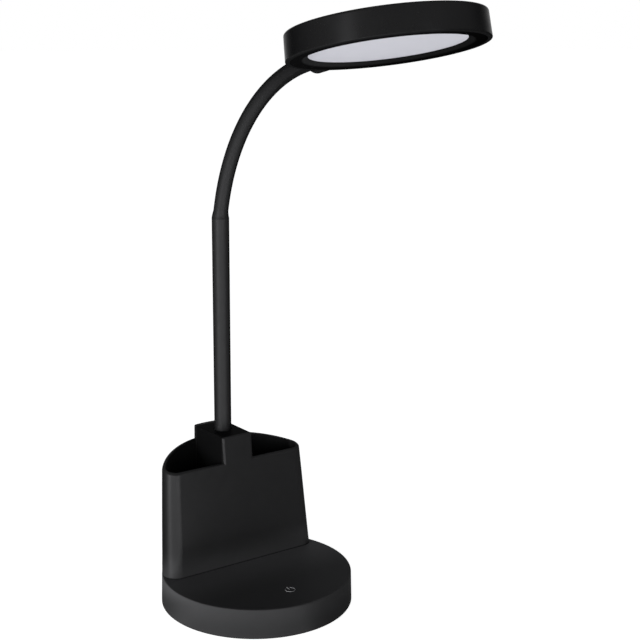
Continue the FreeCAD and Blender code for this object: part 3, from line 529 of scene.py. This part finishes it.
def grow(name, points, tree, inputs, radii=()):
    # runs a node tree over a line of points, in mm, and keeps the result as a plain mesh
    line = bpy.data.meshes.new(name + "Line")
    edges = [(i, i + 1) for i in range(len(points) - 1)]
    line.from_pydata([point * mm for point in points], edges, [])
    if radii:
        stored = line.attributes.new("skinRadius", "FLOAT", "POINT")
        stored.data.foreach_set("value", [radius * mm for radius in radii])
    worker = bpy.data.objects.new(name + "Worker", line)
    scene.collection.objects.link(worker)
    modifier = worker.modifiers.new("grow", "NODES")
    modifier.node_group = tree
    for label, value in inputs.items():
        modifier[inputNamed(tree, label)] = value
    graph = bpy.context.evaluated_depsgraph_get()
    mesh = bpy.data.meshes.new_from_object(worker.evaluated_get(graph))
    mesh.name = name
    mesh.set_sharp_from_angle(angle=math.radians(sharpFrom))
    bpy.data.objects.remove(worker)
    bpy.data.meshes.remove(line)
    made = bpy.data.objects.new(name, mesh)
    scene.collection.objects.link(made)
    return made


def roundCap(end, heading, radius):
    # half a ball, a hair narrower than the skin, as (place, radius) pairs from the skin outwards
    ball = radius * neck["capShare"]
    gap = neck["capGap"]
    cap = [(end + heading * gap, ball)]
    for step in range(1, neck["capSteps"] + 1):
        turn = math.pi / 2 * step / neck["capSteps"]
        cap.append((end + heading * (gap + ball * math.sin(turn)), ball * math.cos(turn)))
    return cap


def flatCap(end, heading, radius):
    return [(end + heading * neck["capGap"], 0.0)]


def skinPath(low, high, settings):
    # (place, radius) pairs from joint low to joint high, which count from 0: a low of -1 is the
    # foot, and a high past the last joint is the far end
    first, last = max(low, 0), min(high, neck["joints"] - 1)
    radius = settings["radius"]
    count = neck["steps"] * (last - first)
    span = jointTilt(last) - jointTilt(first)
    tilts = [jointTilt(first) + span * step / max(count, 1) for step in range(count + 1)]
    path = [(neckPoint(tilt), radius) for tilt in tilts]
    if low < 0:
        foot = Vector((0, neck["start"][1], settings["foot"]))
        flare = settings["cuffRadius"] - radius
        cuff = settings["cuffLength"]
        path = [(place, radius + flare * max(0.0, 1 - (place - foot).length / cuff))
                for place in [foot] + [place for place, _ in path]]
    if high >= neck["joints"]:
        tip = path[-1][0] + headingAt(neck["endTilt"]) * settings["straightEnd"]
        path.append((tip, radius))
    bottom = flatCap if low < 0 else roundCap
    top = flatCap if high >= neck["joints"] else roundCap
    down = (path[0][0] - path[1][0]).normalized()
    up = (path[-1][0] - path[-2][0]).normalized()
    return bottom(path[0][0], down, path[0][1])[::-1] + path + top(path[-1][0], up, radius)


def makeLengths(name, settings, finish, replaced):
    cuts = [-1] + list(range(1, neck["joints"], 2))  # every second joint bends fore and aft
    if settings["straightEnd"]:
        cuts.append(neck["joints"])
    for number, (low, high) in enumerate(zip(cuts, cuts[1:]), 1):
        path = skinPath(low, high, settings)
        inputs = {"Sides": settings["sides"], "Weld": neck["weld"] * mm,
                  "Finish": materials[finish]}
        piece = grow(f"{name}Length{number}", [place for place, _ in path], skinTree, inputs,
                     [radius for _, radius in path])
        if high < neck["joints"]:
            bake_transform(piece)
        else:
            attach(piece, chain[-1])
        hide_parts(replaced)


chain = ["base"] + [f"link_{i:02d}" for i in range(1, neck["joints"])] + ["head"]
skinTree = makeSkinTree()
makeLengths("sleeve", sleeve, "black_sleeve", "neck_sleeve")
makeLengths("lead", lead, "lead", "neck_lead")
print("neck's sleeve and lead made")


# Power symbol printed on the front of the base

symbol = {
    "place": (-0.8, -41.2),  # middle, mm
    "level": 20.6,
    "radius": 3.3,
    "stroke": 0.45,
    "thickness": 0.04,
    "gap": 62.0,  # degrees left open at the back
    "barFrom": 0.6,
    "barTo": 4.3,
    "steps": 40,
}


def makeStrokeTree():
    # a flat print stroke with closed ends, swept along a line of points
    tree = bpy.data.node_groups.new("printStroke", "GeometryNodeTree")
    face = tree.interface
    face.new_socket("Line", in_out="INPUT", socket_type="NodeSocketGeometry")
    for name, kind in (("Width", "Float"), ("Thickness", "Float"), ("Finish", "Material")):
        face.new_socket(name, in_out="INPUT", socket_type="NodeSocket" + kind)
    face.new_socket("Print", in_out="OUTPUT", socket_type="NodeSocketGeometry")
    given = addNode(tree, "NodeGroupInput")
    line = feed(tree, addNode(tree, "GeometryNodeMeshToCurve"), Mesh=given.outputs["Line"])
    flat = feed(tree, addNode(tree, "GeometryNodeCurvePrimitiveQuadrilateral"),
                Width=given.outputs["Thickness"], Height=given.outputs["Width"])
    stroke = feed(tree, addNode(tree, "GeometryNodeCurveToMesh"), Curve=line.outputs[0],
                  Profile_Curve=flat.outputs[0], Fill_Caps=True)
    real = feed(tree, addNode(tree, "GeometryNodeRealizeInstances"), Geometry=stroke.outputs[0])
    finish = feed(tree, addNode(tree, "GeometryNodeSetMaterial"), Geometry=real.outputs[0],
                  Material=given.outputs["Finish"])
    out = addNode(tree, "NodeGroupOutput")
    tree.links.new(finish.outputs[0], out.inputs[0])
    return tree


def symbolPoint(x, y):
    lift = symbol["level"] + symbol["thickness"] / 2
    return Vector((symbol["place"][0] + x, symbol["place"][1] + y, lift))


def makeSymbol():
    half, radius = symbol["gap"] / 2, symbol["radius"]
    turns = [math.radians(90 + half + (360 - symbol["gap"]) * i / symbol["steps"])
             for i in range(symbol["steps"] + 1)]
    arc = [symbolPoint(radius * math.cos(turn), radius * math.sin(turn)) for turn in turns]
    bar = [symbolPoint(0, symbol["barFrom"]), symbolPoint(0, symbol["barTo"])]
    tree = makeStrokeTree()
    inputs = {"Width": symbol["stroke"] * mm, "Thickness": symbol["thickness"] * mm,
              "Finish": materials["print_white"]}
    for name, points in (("powerRing", arc), ("powerBar", bar)):
        piece = grow(name, points, tree, inputs)
        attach(piece, "base")


makeSymbol()
print("power symbol printed")
